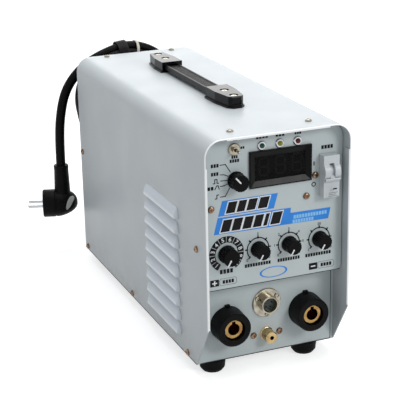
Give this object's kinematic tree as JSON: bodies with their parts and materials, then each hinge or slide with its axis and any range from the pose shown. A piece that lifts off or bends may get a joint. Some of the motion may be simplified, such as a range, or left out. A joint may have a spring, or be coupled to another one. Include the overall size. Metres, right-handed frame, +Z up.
{
  "type": "tig welding machine",
  "caption": "Upright inverter welding power source in a folded sheet-metal case with a display, dial knobs, breaker, output sockets, strap handle and coiled mains lead.",
  "frame": {"origin": "on the floor, under the middle of the machine's box without its mains lead", "axes": "+Z up, -Y out of the front panel, +X to the right seen from the front"},
  "size_m": [0.2392, 0.5508, 0.2755],
  "materials": {
    "cover_paint": "fine textured powder coat",
    "panel_paint": "satin powder coat",
    "zinc_sheet": "galvanised",
    "brass_screw": "yellow zinc plated",
    "nickel": "dull nickel plated",
    "steel_screw": "zinc plated",
    "foot_rubber": "matt",
    "black_plastic": "fine grain",
    "strap_plastic": "ribbed, satin",
    "gloss_black": "smooth",
    "window": "smoked",
    "digits": "unlit segments",
    "lamp_ring": "polished",
    "lamp_lens": "clear coloured",
    "breaker_case": "light grey",
    "breaker_bar": "light grey",
    "brass": "turned",
    "connector_nickel": "nickel plated",
    "fan_plastic": "moulded",
    "guard_wire": "bright wire",
    "aluminium": "extruded",
    "board": "green lacquer",
    "can": "sleeve",
    "ferrite": "sintered",
    "winding": "taped copper",
    "reactor": "lacquered winding",
    "hose": "smooth",
    "cord_rubber": "satin",
    "pin_metal": "bright"
  },
  "bodies": {
    "case": {"cover": "cover_paint", "base_pan": "panel_paint", "control_panel": "panel_paint", "rear_panel": "panel_paint", "side_screws": "brass_screw", "top_screws": "nickel", "panel_screws": "brass_screw", "chassis_screws": "steel_screw", "handle_screws": "nickel", "flange_screws": "nickel", "feet": "foot_rubber", "handle_cap_front": "black_plastic", "handle_cap_rear": "black_plastic", "handle_strap": "strap_plastic", "display_bezel": "gloss_black", "display_window": "window", "display_digits": "digits", "lamp_rings": "lamp_ring", "lamp_lenses": "lamp_lens", "toggle_switch": "nickel", "control_nuts": "nickel", "potentiometers": "steel_screw", "selector_switch": "steel_screw", "breaker_body": "breaker_case", "socket_insulators": "black_plastic", "socket_inserts": "brass", "socket_nuts": "brass", "connector_shell": "connector_nickel", "connector_insert": "gloss_black", "gas_outlet": "brass", "gas_inlet": "brass", "gas_valve": "brass", "gas_hose": "hose", "fan_frame": "fan_plastic", "fan_guard": "guard_wire", "power_board": "board", "capacitors": "can", "heat_sinks": "aluminium", "transformer_core": "ferrite", "transformer_winding": "winding", "output_reactor": "reactor", "cord_gland": "black_plastic", "cord_lead": "cord_rubber", "cord_drop": "cord_rubber", "cord_coil": "cord_rubber", "plug_body": "cord_rubber", "plug_pins": "pin_metal"},
    "current_dial": {"current_knob": "gloss_black", "current_shaft": "aluminium"},
    "crater_dial": {"crater_knob": "gloss_black", "crater_shaft": "aluminium"},
    "gas_time_dial": {"gas_time_knob": "gloss_black", "gas_time_shaft": "aluminium"},
    "pulse_dial": {"pulse_knob": "gloss_black", "pulse_shaft": "aluminium"},
    "selector_dial": {"selector_knob": "gloss_black", "selector_shaft": "aluminium"},
    "toggle": {"toggle_lever": "nickel"},
    "breaker_bar": {"breaker_toggle": "breaker_bar"},
    "rotor": {"fan_rotor": "fan_plastic"}
  },
  "joints": [
    {"name": "current_turn", "type": "hinge", "parent": "case", "child": "current_dial", "pos_m": [-0.052, -0.2005, 0.1385], "axis": [0, 1, 0], "range_deg": [0, 300]},
    {"name": "crater_turn", "type": "hinge", "parent": "case", "child": "crater_dial", "pos_m": [-0.0173, -0.2005, 0.1385], "axis": [0, 1, 0], "range_deg": [0, 300]},
    {"name": "gas_time_turn", "type": "hinge", "parent": "case", "child": "gas_time_dial", "pos_m": [0.0174, -0.2005, 0.1385], "axis": [0, 1, 0], "range_deg": [0, 300]},
    {"name": "pulse_turn", "type": "hinge", "parent": "case", "child": "pulse_dial", "pos_m": [0.0521, -0.2005, 0.1385], "axis": [0, 1, 0], "range_deg": [0, 300]},
    {"name": "selector_turn", "type": "hinge", "parent": "case", "child": "selector_dial", "pos_m": [-0.041, -0.2005, 0.215], "axis": [0, 1, 0], "range_deg": [-93, 13]},
    {"name": "toggle_flip", "type": "hinge", "parent": "case", "child": "toggle", "pos_m": [-0.0425, -0.2035, 0.247], "axis": [-1, 0, 0], "range_deg": [-13, 13]},
    {"name": "breaker_flip", "type": "hinge", "parent": "case", "child": "breaker_bar", "pos_m": [0.0605, -0.2041, 0.212], "axis": [-1, 0, 0], "range_deg": [0, 80]},
    {"name": "fan_spin", "type": "hinge", "parent": "case", "child": "rotor", "pos_m": [0, 0.184, 0.111], "axis": [0, 1, 0], "continuous": true}
  ]
}
